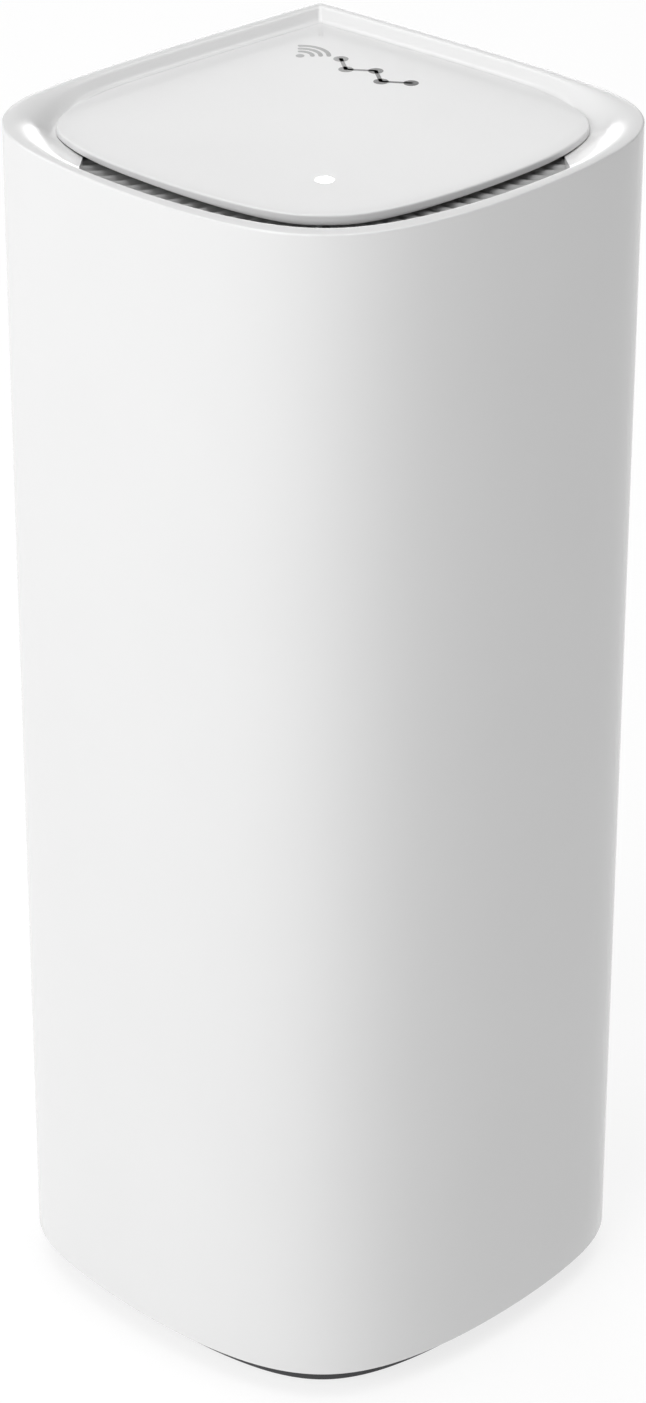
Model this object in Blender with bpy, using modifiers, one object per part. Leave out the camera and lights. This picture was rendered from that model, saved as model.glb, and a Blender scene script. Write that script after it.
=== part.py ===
"""Mesh wifi node: a fanless tower whose plan outline has one sharp back corner and one soft front corner.

Frame: +Z up, origin on the floor under the middle of the tower, front -Y, rear with the sockets +Y.
Everything below is given in millimetres and is scaled by MM when it becomes a mesh.
"""

import math

import bmesh
import bpy
import numpy as np
from mathutils import Matrix, Vector

MM = 0.001
GAP = 0.3                       # clearance between pieces that touch

# The tower
WIDTH = 88.0                    # across the flats, both ways
HEIGHT = 222.0
SHELL_BOTTOM = 5.2              # the shell hovers this far above the floor
WALL = 2.4
RIM, RIM_FRONT = 1.35, 2.6      # width of the flat rim on top: at the back and at the front corner

# Plan outline: half of it runs from the sharp back corner to the soft front corner
BACK_LEAN = 40.3                # degrees between a side at the back corner and the cross diagonal
BENDS = (0.19, 0.0, 0.24, 0.64, 7.69, 1.22, 0.72, 1.66, 5.49)   # relative curvature at even stops

# Lid: how far its edge lies inside the outline, at shares of that half
LID_TOP = 220.0
LID_THICK = 1.6
LID_SHARES = (0.0, 0.34, 0.42, 0.48, 0.56, 0.64, 0.80, 0.90, 1.0)
LID_INSETS = (4.6, 4.6, 6.4, 8.6, 9.9, 10.1, 11.4, 12.1, 13.1)
LOOSE_FROM, LOOSE_TO = 0.36, 0.47   # share over which the lid comes free of the bowl

# Vent in the gap round the front of the lid
VENT_FROM = 0.56                # share of the half outline from which the vent is drawn
VENT_HALF = 39.0                # its ends lie on two planes this far from the diagonal
RIB_PITCH = 2.85                # measured along the lid's edge
SLOT_SHARE = 0.5                # of the pitch, open
SLOT_INSETS = (5.9, 15.4)
LED_PLACE = (14.3, -14.3)
LED_RADIUS = 1.5

# Base
FOOT_INSET = 5.1
BASE_BOTTOM = 0.3
FLOOR_TOP = 4.0
BASE_TOP = 15.8
RING_INSETS = (6.5, 14.5)       # rubber ring
SCREW_PLACES = ((-24.0, 6.0), (24.0, 6.0), (-20.0, -22.0), (20.0, -20.0))
RESET_PLACE = (0.0, 15.7)

# Chassis and boards
CHASSIS_INSETS = (3.0, 5.6)
CHASSIS_Z = (16.2, 208.2)
BOARD_Y = (18.3, 19.9)
BOARD_X = (-33.0, 31.0)
BOARD_Z = (11.5, 196.0)
BOARD_SCREWS = ((-29.5, 66.0), (28.0, 66.0), (-29.5, 189.0), (28.0, 189.0))

# Rear panel and what stands in it
PANEL_X = (-35.0, 23.0)
PANEL_Z = (16.6, 58.6)
PANEL_Y = (34.0, 36.0)
PANEL_LIP_Y = 38.6
OPENING_MARGIN = 0.8            # the shell's opening is this much smaller than the panel
SOCKET_Y = (20.2, 33.7)
SOCKETS = (("wan_socket", 12.0, 47.0), ("lan_socket_1", -6.0, 47.0),
           ("lan_socket_2", 12.0, 29.0), ("lan_socket_3", -6.0, 29.0))
CONTROL_X = -24.5               # jack, rocker and pairing button share a column
JACK_Z, ROCKER_Z, PAIR_Z = 24.0, 37.0, 51.0
ROCKER_PIVOT_Y = 32.0
ROCKER_REST = 9.0               # degrees of tilt at rest; it rocks to as much the other way


def clean_scene():
    for old in list(bpy.data.objects):
        bpy.data.objects.remove(old, do_unlink=True)


def new_collection(name):
    collection = bpy.data.collections.new(name)
    bpy.context.scene.collection.children.link(collection)
    return collection


def material(name, colour, roughness, metallic=0.0):
    made = bpy.data.materials.new(name)
    made.use_nodes = True
    made.diffuse_color = (*colour, 1.0)
    shader = made.node_tree.nodes["Principled BSDF"]
    shader.inputs["Base Color"].default_value = (*colour, 1.0)
    shader.inputs["Roughness"].default_value = roughness
    shader.inputs["Metallic"].default_value = metallic
    return made


clean_scene()
PARTS = new_collection("mesh_wifi_node")
CUTTERS = new_collection("cutters")

WHITE = material("white_housing", (0.80, 0.80, 0.80), 0.45)
CHARCOAL = material("charcoal_plastic", (0.06, 0.06, 0.065), 0.5)
GREY = material("grey_grille", (0.20, 0.20, 0.20), 0.5)
RUBBER = material("black_rubber", (0.03, 0.03, 0.03), 0.85)
LENS = material("led_lens", (0.95, 0.95, 0.95), 0.2)
BLACK = material("black_plastic", (0.02, 0.02, 0.02), 0.4)
RED = material("red_button", (0.6, 0.04, 0.03), 0.4)
STEEL = material("plated_steel", (0.6, 0.6, 0.6), 0.3, 1.0)
GOLD = material("gold_contacts", (0.9, 0.65, 0.25), 0.25, 1.0)
ALUMINIUM = material("cast_aluminium", (0.55, 0.55, 0.56), 0.5, 1.0)
BOARD = material("green_board", (0.02, 0.12, 0.06), 0.45)
PAD = material("thermal_pad", (0.35, 0.45, 0.6), 0.8)
PAPER = material("blank_label", (0.7, 0.7, 0.7), 0.7)
NATURAL = material("natural_plastic", (0.55, 0.55, 0.53), 0.6)


# ---------------------------------------------------------------- building blocks

def put(name, mesh, finish, collection=None):
    made = bpy.data.objects.new(name, mesh)
    (collection or PARTS).objects.link(made)
    if finish:
        mesh.materials.append(finish)
    else:
        made.hide_render = True
        made.display_type = "WIRE"
    return made


def put_bmesh(name, bm, finish, centre=(0, 0, 0)):
    """Object from a bmesh in millimetres round its own origin, placed at centre."""
    bmesh.ops.recalc_face_normals(bm, faces=bm.faces)
    bmesh.ops.scale(bm, vec=(MM, MM, MM), verts=bm.verts)
    mesh = bpy.data.meshes.new(name)
    bm.to_mesh(mesh)
    bm.free()
    made = put(name, mesh, finish, PARTS if finish else CUTTERS)
    made.location = Vector(centre) * MM
    return made


def add_box(bm, low, high):
    low, high = Vector(low), Vector(high)
    place = Matrix.Translation((low + high) / 2) @ Matrix.Diagonal((*(high - low), 1.0))
    return bmesh.ops.create_cube(bm, size=1.0, matrix=place)["verts"]


def add_rod(bm, start, end, radius, sides=20, end_radius=None):
    start, end = Vector(start), Vector(end)
    turn = (end - start).to_track_quat("Z", "Y").to_matrix().to_4x4()
    place = Matrix.Translation((start + end) / 2) @ turn
    bmesh.ops.create_cone(bm, cap_ends=True, segments=sides, radius1=radius, matrix=place,
                          radius2=radius if end_radius is None else end_radius, depth=(end - start).length)


def box(name, low, high, finish, centre=(0, 0, 0)):
    bm = bmesh.new()
    add_box(bm, low, high)
    return put_bmesh(name, bm, finish, centre)


def boxes(name, corners, finish=None):
    """Several boxes in one object, for a cutter or for pieces that do not meet."""
    bm = bmesh.new()
    for low, high in corners:
        add_box(bm, low, high)
    return put_bmesh(name, bm, finish)


def rod(name, start, end, radius, finish, sides=20, end_radius=None):
    bm = bmesh.new()
    add_rod(bm, start, end, radius, sides, end_radius)
    return smooth(put_bmesh(name, bm, finish))


def rods(name, ends, radius, sides=20):
    """One cutter of several rods."""
    bm = bmesh.new()
    for start, end in ends:
        add_rod(bm, start, end, radius, sides)
    return put_bmesh(name, bm, None)


def smooth(made, angle=35):
    made.data.shade_smooth()
    made.data.set_sharp_from_angle(angle=math.radians(angle))
    return made


def boolean(body, tool, operation):
    step = body.modifiers.new(tool.name, "BOOLEAN")
    step.operation = operation
    step.object = tool
    if tool.name not in CUTTERS.objects:
        PARTS.objects.unlink(tool)
        CUTTERS.objects.link(tool)
    tool.hide_render = True
    tool.display_type = "WIRE"
    return body


def cut(body, tool):
    return boolean(body, tool, "DIFFERENCE")


def join(body, tool):
    return boolean(body, tool, "UNION")


def bevel(body, width, segments=1, angle=40):
    step = body.modifiers.new("rounded_edges", "BEVEL")
    step.width = width * MM
    step.segments = segments
    step.limit_method = "ANGLE"
    step.angle_limit = math.radians(angle)
    return body


def extrusion(name, outline, along, start, end, finish, centre=(0, 0, 0)):
    """Flat outline, drawn as a 2D curve, extruded from start to end along X or Z and made a mesh.

    Along Z the outline's two numbers are x and y; along X they are y and z.
    """
    curve = bpy.data.curves.new(name, "CURVE")
    curve.dimensions = "2D"
    curve.fill_mode = "BOTH"
    curve.extrude = (end - start) / 2
    spline = curve.splines.new("POLY")
    spline.points.add(len(outline) - 1)
    for point, (first, second) in zip(spline.points, outline):
        point.co = (first, second, 0.0, 1.0)
    spline.use_cyclic_u = True
    guide = bpy.data.objects.new(name + "_outline", curve)
    CUTTERS.objects.link(guide)
    bpy.context.view_layer.update()
    drawn = bpy.data.meshes.new_from_object(guide.evaluated_get(bpy.context.evaluated_depsgraph_get()))
    bpy.data.objects.remove(guide, do_unlink=True)
    bm = bmesh.new()
    bm.from_mesh(drawn)
    bmesh.ops.remove_doubles(bm, verts=bm.verts, dist=1e-4)
    bpy.data.meshes.remove(drawn)
    stand = Matrix.Translation((0, 0, (start + end) / 2))
    axes = Matrix(((0, 0, 1, 0), (1, 0, 0, 0), (0, 1, 0, 0), (0, 0, 0, 1))) if along == "X" else Matrix()
    bmesh.ops.transform(bm, matrix=axes @ stand, verts=bm.verts)
    return put_bmesh(name, bm, finish, centre)


def smooth_route(points, steps=4):
    """Catmull-Rom curve through the points, steps to each stretch."""
    padded = [2 * Vector(points[0]) - Vector(points[1]), *map(Vector, points),
              2 * Vector(points[-1]) - Vector(points[-2])]
    route = []
    for a, b, c, d in zip(padded, padded[1:], padded[2:], padded[3:]):
        for k in range(steps):
            t = k / steps
            route.append(0.5 * (2 * b + (c - a) * t + (2 * a - 5 * b + 4 * c - d) * t ** 2
                                + (3 * b - a - 3 * c + d) * t ** 3))
    return route + [Vector(points[-1])]


def wire(name, points, radius, finish):
    curve = bpy.data.curves.new(name, "CURVE")
    curve.dimensions = "3D"
    curve.bevel_depth = radius * MM
    curve.bevel_resolution = 2
    curve.use_fill_caps = True
    route = smooth_route(points)
    spline = curve.splines.new("POLY")
    spline.points.add(len(route) - 1)
    for point, place in zip(spline.points, route):
        point.co = (*(place * MM), 1.0)
    curve.materials.append(finish)
    made = bpy.data.objects.new(name, curve)
    PARTS.objects.link(made)
    return made


# ---------------------------------------------------------------- plan outline

def half_outline(steps=240):
    """Points and headings from the back corner to the front corner.

    Equal steps whose heading turns by the curvature between BENDS, on axes where the tower's
    own diagonal runs up the page. The half turns by 180 degrees less the lean in all.
    """
    middles = (np.arange(steps) + 0.5) / steps
    bend = np.interp(middles, np.linspace(0, 1, len(BENDS)), BENDS)
    bend *= math.radians(180 - BACK_LEAN) / bend.sum()
    start = math.radians(180 + BACK_LEAN)
    heading = start + np.cumsum(bend) - bend / 2
    points = np.zeros((steps + 1, 2))
    points[1:, 0] = np.cumsum(np.cos(heading))
    points[1:, 1] = np.cumsum(np.sin(heading))
    shares = np.linspace(0, 1, steps + 1)
    points[:, 0] -= shares * points[-1, 0]
    ends = start + np.concatenate(([0.0], np.cumsum(bend)))
    return shares, points, ends


def to_tower_axes(diagonal):
    """Turn by 45 degrees, so that the sharp corner comes to the back left."""
    cos = math.sqrt(0.5)
    return np.column_stack((diagonal[:, 0] - diagonal[:, 1], diagonal[:, 0] + diagonal[:, 1])) * cos


HALF_SHARES, HALF_POINTS, HALF_HEADINGS = half_outline()
FULL = to_tower_axes(np.vstack((HALF_POINTS, HALF_POINTS * (-1, 1))))
HALF_POINTS *= WIDTH / np.ptp(FULL[:, 0])
FULL *= WIDTH / np.ptp(FULL[:, 0])
CENTRE = (FULL.max(axis=0) + FULL.min(axis=0)) / 2


def half_at(shares):
    """Points and inward normals at the given shares of the half outline; the corner's is mitred."""
    points = np.column_stack([np.interp(shares, HALF_SHARES, HALF_POINTS[:, k]) for k in (0, 1)])
    heading = np.interp(shares, HALF_SHARES, HALF_HEADINGS)
    inward = np.column_stack((-np.sin(heading), np.cos(heading)))
    inward[shares == 0] = (0, -1 / math.cos(math.radians(BACK_LEAN)))
    inward[shares == 1] = (0, 1)
    return points, inward


def spaced_shares(first=0.0, turn=8.0, longest=16.0):
    """Shares from first to 1, closer together where the outline bends."""
    length = np.linalg.norm(np.diff(HALF_POINTS, axis=0), axis=1).sum()
    weight = np.degrees(HALF_HEADINGS - HALF_HEADINGS[0]) / turn + HALF_SHARES * length / longest
    low = np.interp(first, HALF_SHARES, weight)
    count = math.ceil(weight[-1] - low)
    return np.interp(np.linspace(low, weight[-1], count + 1), weight, HALF_SHARES)


def walk(first=0.0, shares=None):
    """Outline from the left side round the front corner to the right: points, inward normals, shares.

    From share 0 it is the closed outline, anticlockwise from above, starting at the back corner.
    """
    shares = spaced_shares(first) if shares is None else shares
    points, inward = half_at(shares)
    back = slice(-2, 0, -1) if first == 0 else slice(-2, None, -1)
    points = np.vstack((points, points[back] * (-1, 1)))
    inward = np.vstack((inward, inward[back] * (-1, 1)))
    return to_tower_axes(points) - CENTRE, to_tower_axes(inward), np.concatenate((shares, shares[back]))


OUTLINE, INWARD, SHARES = walk()


def ring(inset, height, path=(OUTLINE, INWARD)):
    """Points at an inset from the outline and at a height; either may vary along it."""
    points = path[0] + path[1] * np.reshape(inset, (-1, 1))
    return np.column_stack((points, np.broadcast_to(height, len(points))))


def loft(name, rings, finish, closed=False):
    """Solid through rings of equally many points; a closed one joins its last ring to its first."""
    bm = bmesh.new()
    loops = [[bm.verts.new(point) for point in loop] for loop in rings]
    pairs = list(zip(loops, loops[1:]))
    if closed:
        pairs.append((loops[-1], loops[0]))
    else:
        bm.faces.new(loops[0])
        bm.faces.new(loops[-1])
    for low, high in pairs:
        for k in range(len(low)):
            bm.faces.new((low[k - 1], low[k], high[k], high[k - 1]))
    return smooth(put_bmesh(name, bm, finish))


def lid_inset(shares):
    return np.interp(shares, LID_SHARES, LID_INSETS)


def looseness(shares):
    """0 at the back, where the lid lies flush in the bowl, to 1 where it floats free."""
    t = np.clip((shares - LOOSE_FROM) / (LOOSE_TO - LOOSE_FROM), 0, 1)
    return t * t * (3 - 2 * t)


# ---------------------------------------------------------------- housing

def rim_inset(shares):
    """Inset of the flat rim's inner edge; it widens towards the front corner."""
    t = np.clip((shares - 0.62) / 0.38, 0, 1)
    return RIM + (RIM_FRONT - RIM) * t * t * (3 - 2 * t)


def bowl_fall(t, shoulder, foot):
    """0 to 1: the slope rises over the shoulder, stays even, and eases off over the foot."""
    top = 1 / (1 - shoulder / 2 - foot / 2)
    late = np.maximum(t - (1 - foot), 0)
    early = np.minimum(t, shoulder) ** 2 / (2 * shoulder)
    return top * (early + np.maximum(t - shoulder, 0) - late ** 2 / (2 * foot))


def make_outer_shell():
    """Sleeve, flat rim and inner bowl in one moulding; open below, at the rear panel and at the vent."""
    free = looseness(SHARES)
    tuck = np.clip((free - 0.65) / 0.35, 0, 1)     # it reaches under the lid only once it lies deep enough
    rim = rim_inset(SHARES)
    bowl_end = lid_inset(SHARES) - GAP + 2.2 * tuck
    bowl_drop = 2.0 + 2.9 * free
    lip = 218.1 - 1.9 * free
    top = HEIGHT
    rings = [ring(0.5, SHELL_BOTTOM), ring(0.0, SHELL_BOTTOM + 0.6), ring(0.0, top - 0.35), ring(0.35, top)]
    for t in (0.0, 0.15, 0.3, 0.45, 0.6, 0.8, 1.0):
        fall = bowl_fall(t, 0.35 + 0.15 * free, 0.4 - 0.35 * free)
        rings.append(ring(rim + (bowl_end - rim) * t, top - bowl_drop * fall))
    ledge = bowl_end + 0.4 + 3.0 * (1 - free)
    rings += [ring(bowl_end, lip), ring(ledge, lip), ring(ledge, lip - 1.6), ring(4.6, 211.5),
              ring(WALL, 209.0), ring(WALL, SHELL_BOTTOM)]
    shell = loft("outer_shell", rings, WHITE, closed=True)
    cut(shell, vent_mouth())
    x, z, inner = PANEL_X, PANEL_Z, OPENING_MARGIN
    mouth = box("rear_mouth", (x[0] + inner, 30, z[0] + inner), (x[1] - inner, 50, z[1] - inner), None)
    cut(shell, bevel_uprights(mouth, 4.0))
    return shell


def bevel_uprights(tool, radius):
    """Round the four edges of a box that run along Y."""
    bm = bmesh.new()
    bm.from_mesh(tool.data)
    along_y = [edge for edge in bm.edges if abs((edge.verts[0].co - edge.verts[1].co).y) > 10 * MM]
    bmesh.ops.bevel(bm, geom=along_y, offset=radius * MM, segments=4, profile=0.5, affect="EDGES")
    bm.to_mesh(tool.data)
    bm.free()
    return tool


def between_ends(piece, half):
    """Trim a piece to the planes that stand at half on both sides of the diagonal."""
    for way in (-1, 1):
        plan = to_tower_axes(np.array([(half, -80), (90, -80), (90, 80), (half, 80)]) * (way, 1)) - CENTRE
        ends = [np.column_stack((plan, np.full(4, height))) for height in (200.0, 230.0)]
        cut(piece, loft("vent_end", ends, None))
    return piece


def vent_mouth():
    """Cutter that opens the bowl round the front, from just inside the rim to under the lid."""
    path = walk(VENT_FROM)
    near = rim_inset(path[2]) + 0.3
    corners = ((near, 205.0), (near, 223.5), (17.6, 223.5), (17.6, 205.0))
    lines = [ring(inset, height, path) for inset, height in corners]
    return between_ends(loft("vent_mouth", np.stack(lines, axis=1), None), VENT_HALF)


def make_vent_grille():
    """Concave strip below the gap round the lid, slotted between its ribs, on a foot on the carrier."""
    path = walk(VENT_FROM)
    near = rim_inset(path[2]) + 0.6
    far = lid_inset(path[2]) + 2.6
    upper, lower = [], []
    for t in (0.0, 0.15, 0.35, 0.6, 0.8, 1.0):
        height = 220.9 - 3.8 * (1 - (1 - t) ** 2)
        upper.append(ring(near + (far - near) * t, height, path))
        lower.append(ring(near + (far - near) * t, height - 1.5, path))
    foot = [ring(5.6, 217.6, path), ring(5.6, 211.0, path), ring(near, 211.0, path)]
    grille = loft("vent_grille", np.stack(upper + lower[:2:-1] + foot, axis=1), GREY)
    return cut(between_ends(grille, VENT_HALF - GAP), grille_slots())


def grille_slots():
    """One wedge between each two ribs, evenly spaced along the edge of the lid."""
    bm = bmesh.new()
    shares = np.linspace(1, VENT_FROM, 400)
    points, inward = half_at(shares)
    edge = points + inward * lid_inset(shares)[:, None]
    run = np.concatenate(([0.0], np.cumsum(np.linalg.norm(np.diff(edge, axis=0), axis=1))))
    count = int(run[-1] / RIB_PITCH) - 1
    for k in range(-count, count + 1):
        sides = []
        for way in (-1, 1):
            place = (k + way * SLOT_SHARE / 2) * RIB_PITCH
            point, inward = half_at(np.array([np.interp(abs(place), run, shares)]))
            if abs((point + inward * SLOT_INSETS[0])[0, 0]) > VENT_HALF - 2.0:
                break
            mirror = (-1, 1) if place > 0 else (1, 1)
            line = (to_tower_axes(point * mirror) - CENTRE, to_tower_axes(inward * mirror))
            sides.append([ring(inset, height, line)[0] for height in (212.0, 222.0) for inset in SLOT_INSETS])
        if len(sides) < 2:
            continue
        verts = [[bm.verts.new(point) for point in side] for side in sides]
        for side in verts:
            side[2], side[3] = side[3], side[2]
            bm.faces.new(side)
        for i in range(4):
            bm.faces.new((verts[0][i - 1], verts[0][i], verts[1][i], verts[1][i - 1]))
    return put_bmesh("grille_slots", bm, None)


def make_top_lid():
    edge = lid_inset(SHARES)
    low = LID_TOP - LID_THICK
    rings = [ring(edge + 1.0, low), ring(edge + 0.3, low + 0.2), ring(edge, low + 0.6),
             ring(edge, LID_TOP - 0.3), ring(edge + 0.3, LID_TOP)]
    lid = loft("top_lid", rings, WHITE)
    for k, (x, y) in enumerate(((-22, 22), (-18, -16), (22, 10))):
        join(lid, rod(f"lid_post_{k}", (x, y, 211.0), (x, y, low + 1.0), 2.2, WHITE, 16))
    x, y = LED_PLACE
    return cut(lid, rods("led_hole", [((x, y, 215), (x, y, 225))], LED_RADIUS + GAP, 32))


def make_led():
    x, y = LED_PLACE
    pipe = rod("led_light_pipe", (x, y, 215.4), (x, y, LID_TOP), LED_RADIUS, LENS, 32)
    join(pipe, rod("light_pipe_flange", (x, y, 214.9), (x, y, 216.4), 3.2, LENS, 24))
    box("led_board", (x - 6, y - 6, 211.0), (x + 6, y + 6, 212.2), BOARD)
    box("led_chip", (x - 1.5, y - 1.5, 212.5), (x + 1.5, y + 1.5, 214.3), LENS)
    lead = ((x - 7, y + 3, 212.0), (x - 10, y + 13, 212.6), (x - 12, 5.8, 210.6), (x - 12, 5.9, 206.0),
            (x - 12, 8.5, 201.0), (x - 12, BOARD_Y[0] - 3.5, 197.0), (x - 12, BOARD_Y[0] - 1.2, 193.0))
    wire("led_lead", lead, 0.7, BLACK)


def make_top_carrier():
    """Slotted plate on top of the chassis, which holds the lid's posts, the grille and the light's board."""
    carrier = loft("top_carrier", [ring(4.9, 208.5), ring(4.9, 210.7)], CHARCOAL)
    slots = []
    for k in range(6):
        y = -24.0 + 9.2 * k
        slots.append(((-30 if y > -20 else -22, y, 205), (5 if -22 < y < -2 else 24, y + 4.6, 215)))
    return cut(carrier, boxes("carrier_slots", slots))


def make_base_housing():
    """Tub that closes the shell from below; its foot is set in, and slots at the rear let air in."""
    rings = [ring(FOOT_INSET + 0.3, BASE_BOTTOM), ring(FOOT_INSET, BASE_BOTTOM + 0.3), ring(FOOT_INSET, 5.6),
             ring(WALL + GAP, 6.6), ring(WALL + GAP, BASE_TOP), ring(4.5, BASE_TOP), ring(4.5, 8.0),
             ring(7.2, FLOOR_TOP)]
    base = loft("base_housing", rings, CHARCOAL)
    groove = loft("ring_groove", [ring(RING_INSETS[0] - GAP, 0.0), ring(RING_INSETS[0] - GAP, 2.2),
                                  ring(RING_INSETS[1] + GAP, 2.2), ring(RING_INSETS[1] + GAP, 0.0)], None, True)
    cut(base, groove)
    cut(base, rods("base_screw_holes", [((x, y, 0), (x, y, 6)) for x, y in SCREW_PLACES], 1.7, 12))
    cut(base, rods("base_screw_seats", [((x, y, 0), (x, y, 2.6)) for x, y in SCREW_PLACES], 3.1, 16))
    x, y = RESET_PLACE
    cut(base, rods("reset_hole", [((x, y, 0), (x, y, 6))], 2.6, 20))
    cut(base, boxes("label_recess", [((-14.4, -14.4, 0), (14.4, 2.4, 1.8))]))
    slots = [((-50, y, 2.4), (-35, y + 2.0, 4.6)) for y in range(-14, 30, 4)]
    slots += [((x, 35, 2.4), (x + 2.0, 50, 4.6)) for x in range(-30, 14, 4)]
    return cut(base, boxes("intake_slots", slots))


def make_foot():
    outer, inner = RING_INSETS
    loft("foot_ring", [ring(outer, 0.0), ring(outer, 1.9), ring(inner, 1.9), ring(inner, 0.0)], RUBBER, True)
    box("rating_label", (-14, -14, 1.3), (14, 2, 1.5), PAPER)


def screw(name, head, way, reach, finish=STEEL):
    """Pan head with a cross recess at head, and a shank of the given reach that points along way."""
    head, way = Vector(head), Vector(way)
    made = rod(name, head, head + way * 1.0, 2.7, finish, 16)
    join(made, rod(name + "_shank", head + way * 0.8, head + way * reach, 1.25, finish, 10))
    side = Vector((1, 0, 0))
    other = way.cross(side)
    for k, (long, short) in enumerate(((side, other), (other, side))):
        reach_out = long * 1.5 + short * 0.3
        corners = (head - reach_out - way * 0.5, head + reach_out + way * 0.6)
        low = [min(pair) for pair in zip(*corners)]
        high = [max(pair) for pair in zip(*corners)]
        cut(made, box(f"{name}_recess_{k}", low, high, None))
    return made


# ---------------------------------------------------------------- inside

def make_chassis():
    """Plastic sleeve inside the shell, with windows, board brackets and the four screw bosses."""
    outer, inner = CHASSIS_INSETS
    low, high = CHASSIS_Z
    chassis = loft("inner_chassis", [ring(outer, low), ring(outer, high), ring(inner, high), ring(inner, low)],
                   NATURAL, True)
    windows = [((-50, -22, 70), (50, 8, 100)), ((-50, -22, 112), (50, 8, 142)),
               ((-24, -50, 112), (18, -25, 142)), ((-24, -50, 154), (18, -25, 196)),
               ((-24, 25, 78), (18, 50, 196)), ((-37, 25, 10), (25, 50, 60))]
    cut(chassis, boxes("chassis_windows", windows))
    for k, (x, z) in enumerate(BOARD_SCREWS):
        ends = (-38.8, -26.5) if x < 0 else (25.0, 39.0)
        bracket = box(f"board_bracket_{k}", (ends[0], 13.8, z - 5), (ends[1], BOARD_Y[0] - GAP, z + 5), NATURAL)
        join(chassis, bracket)
    ribs = (((-38.6, 4.8), (-23, 7.2)), ((23, 4.8), (39.4, 7.2)),
            ((-21.2, -39), (-18.8, -21)), ((18.8, -37.4), (21.2, -19)))
    for k, ((x, y), (start, end)) in enumerate(zip(SCREW_PLACES, ribs)):
        join(chassis, rod(f"boss_{k}", (x, y, FLOOR_TOP + GAP), (x, y, 30), 3.4, NATURAL, 16))
        join(chassis, box(f"boss_rib_{k}", (*start, 17.4), (*end, 28.6), NATURAL))
    cut(chassis, rods("boss_bores", [((x, y, 0), (x, y, 15)) for x, y in SCREW_PLACES], 1.6, 10))
    bores = [((x, 12, z), (x, 20, z)) for x, z in BOARD_SCREWS]
    return cut(chassis, rods("bracket_bores", bores, 1.6, 10))


def make_main_board():
    board = box("main_board", (BOARD_X[0], BOARD_Y[0], BOARD_Z[0]), (BOARD_X[1], BOARD_Y[1], BOARD_Z[1]), BOARD)
    cut(board, rods("board_holes", [((x, 15, z), (x, 25, z)) for x, z in BOARD_SCREWS], 1.7, 12))
    front, rear = BOARD_Y
    can("front_shield", (-20, front - 2.3, 96), (18, front - GAP, 150), -1)
    can("rear_shield", (-18, rear + GAP, 100), (16, rear + 2.3, 156), 1)
    box("processor_chip", (-9, front - 1.4, 112), (7, front - GAP, 128), BLACK)
    box("radio_chip", (-8, rear + GAP, 118), (6, rear + 1.4, 132), BLACK)
    box("front_thermal_pad", (-16, front - 3.1, 100), (14, front - 2.6, 146), PAD)
    box("rear_thermal_pad", (-14, rear + 2.6, 104), (12, rear + 3.1, 152), PAD)


def can(name, low, high, way):
    """Radio shield: a five-sided can, open towards the board."""
    shield = box(name, low, high, STEEL)
    wall = 0.5
    start = (low[0] + wall, low[1] + wall if way < 0 else low[1] - 1, low[2] + wall)
    end = (high[0] - wall, high[1] + 1 if way < 0 else high[1] - wall, high[2] - wall)
    return cut(shield, box(name + "_hollow", start, end, None))


def comb(left, right, base, root, tip, fins, thick):
    """Outline of a heatsink in plan: a base strip with fins from root to tip."""
    outline = [(right, base), (left, base)]
    pitch = (right - left - thick) / (fins - 1)
    for k in range(fins):
        x = left + k * pitch
        outline += [(x, root)] * (k > 0) + [(x, tip), (x + thick, tip)] + [(x + thick, root)] * (k < fins - 1)
    return outline


def make_heatsinks():
    front, rear = BOARD_Y
    extrusion("front_heatsink", comb(-29, 27, front - 3.4, front - 6.4, -24, 8, 1.8), "Z", 74, 182, ALUMINIUM)
    extrusion("rear_heatsink", comb(-27, 23, rear + 3.4, rear + 5.4, 34.5, 8, 1.4), "Z", 78, 180, ALUMINIUM)


def antenna(name, low, high, slot_low, slot_high):
    """Stamped plate with a slot open at one end."""
    return cut(box(name, low, high, GOLD), boxes(name + "_slot", [(slot_low, slot_high)]))


def make_antennas():
    antenna("antenna_1", (-37.1, -22, 152), (-36.5, 4, 194), (-38, -12, 160), (-35, 6, 164))
    antenna("antenna_2", (36.2, -13, 152), (36.8, 12, 194), (35, -15, 160), (38, 2, 164))
    antenna("antenna_3", (-27, -35.9, 66), (-5, -35.3, 104), (-28, -37, 90), (-13, -34, 94))
    antenna("antenna_4", (-1, -35.9, 66), (15, -35.3, 104), (5, -37, 90), (16, -34, 94))
    wire("coax_1", ((-35.7, -2, 168), (-34.4, 6, 164), (-33.0, 12, 156), (-31.4, 16.8, 150)), 0.6, BLACK)
    wire("coax_2", ((35.4, 2, 168), (33.6, 8, 164), (31.2, 13, 156), (29.2, 16.8, 150)), 0.6, BLACK)
    wire("coax_3", ((-16, -34.5, 97), (-26, -32.5, 98), (-32.6, -22, 101), (-33.6, -4, 104),
                    (-32.6, 9, 106), (-31.2, 16.8, 108)), 0.6, BLACK)
    wire("coax_4", ((8, -34.5, 97), (21, -32.6, 98), (30.4, -23, 101), (33.2, -6, 104),
                    (31.4, 9, 106), (29.2, 16.8, 108)), 0.6, BLACK)


# ---------------------------------------------------------------- rear panel, sockets and controls

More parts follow.
